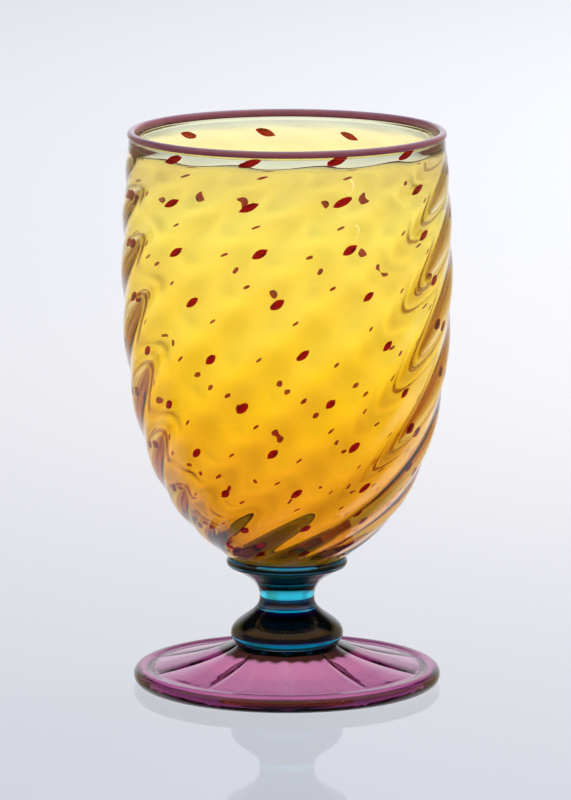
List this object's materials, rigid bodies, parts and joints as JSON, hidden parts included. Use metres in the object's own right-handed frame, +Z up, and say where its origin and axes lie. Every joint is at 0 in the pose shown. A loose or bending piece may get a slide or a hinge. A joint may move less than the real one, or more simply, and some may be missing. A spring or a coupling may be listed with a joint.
{
  "type": "stemmed water goblet",
  "caption": "Hand-blown stemmed water goblet: deep bowl of twisted optic ribs, short spool stem, domed hollow foot and a glass thread round the lip.",
  "frame": {"origin": "centre of the ring that the foot stands on, at table level", "axes": "+Z up along the axis of the glass, from foot to lip; -Y is the side the picture was taken from"},
  "size_m": [0.0898, 0.0898, 0.152],
  "materials": {
    "mauve_glass": "polished",
    "teal_glass": "polished",
    "clear_glass": "polished",
    "amber_glass": "polished",
    "lip_glass": "fire-polished",
    "spot_red": "polished"
  },
  "bodies": {
    "root": {"foot": "mauve_glass", "stem": "teal_glass", "bowl_casing": "clear_glass", "bowl_lining": "amber_glass", "lip_wrap": "lip_glass"}
  },
  "joints": []
}
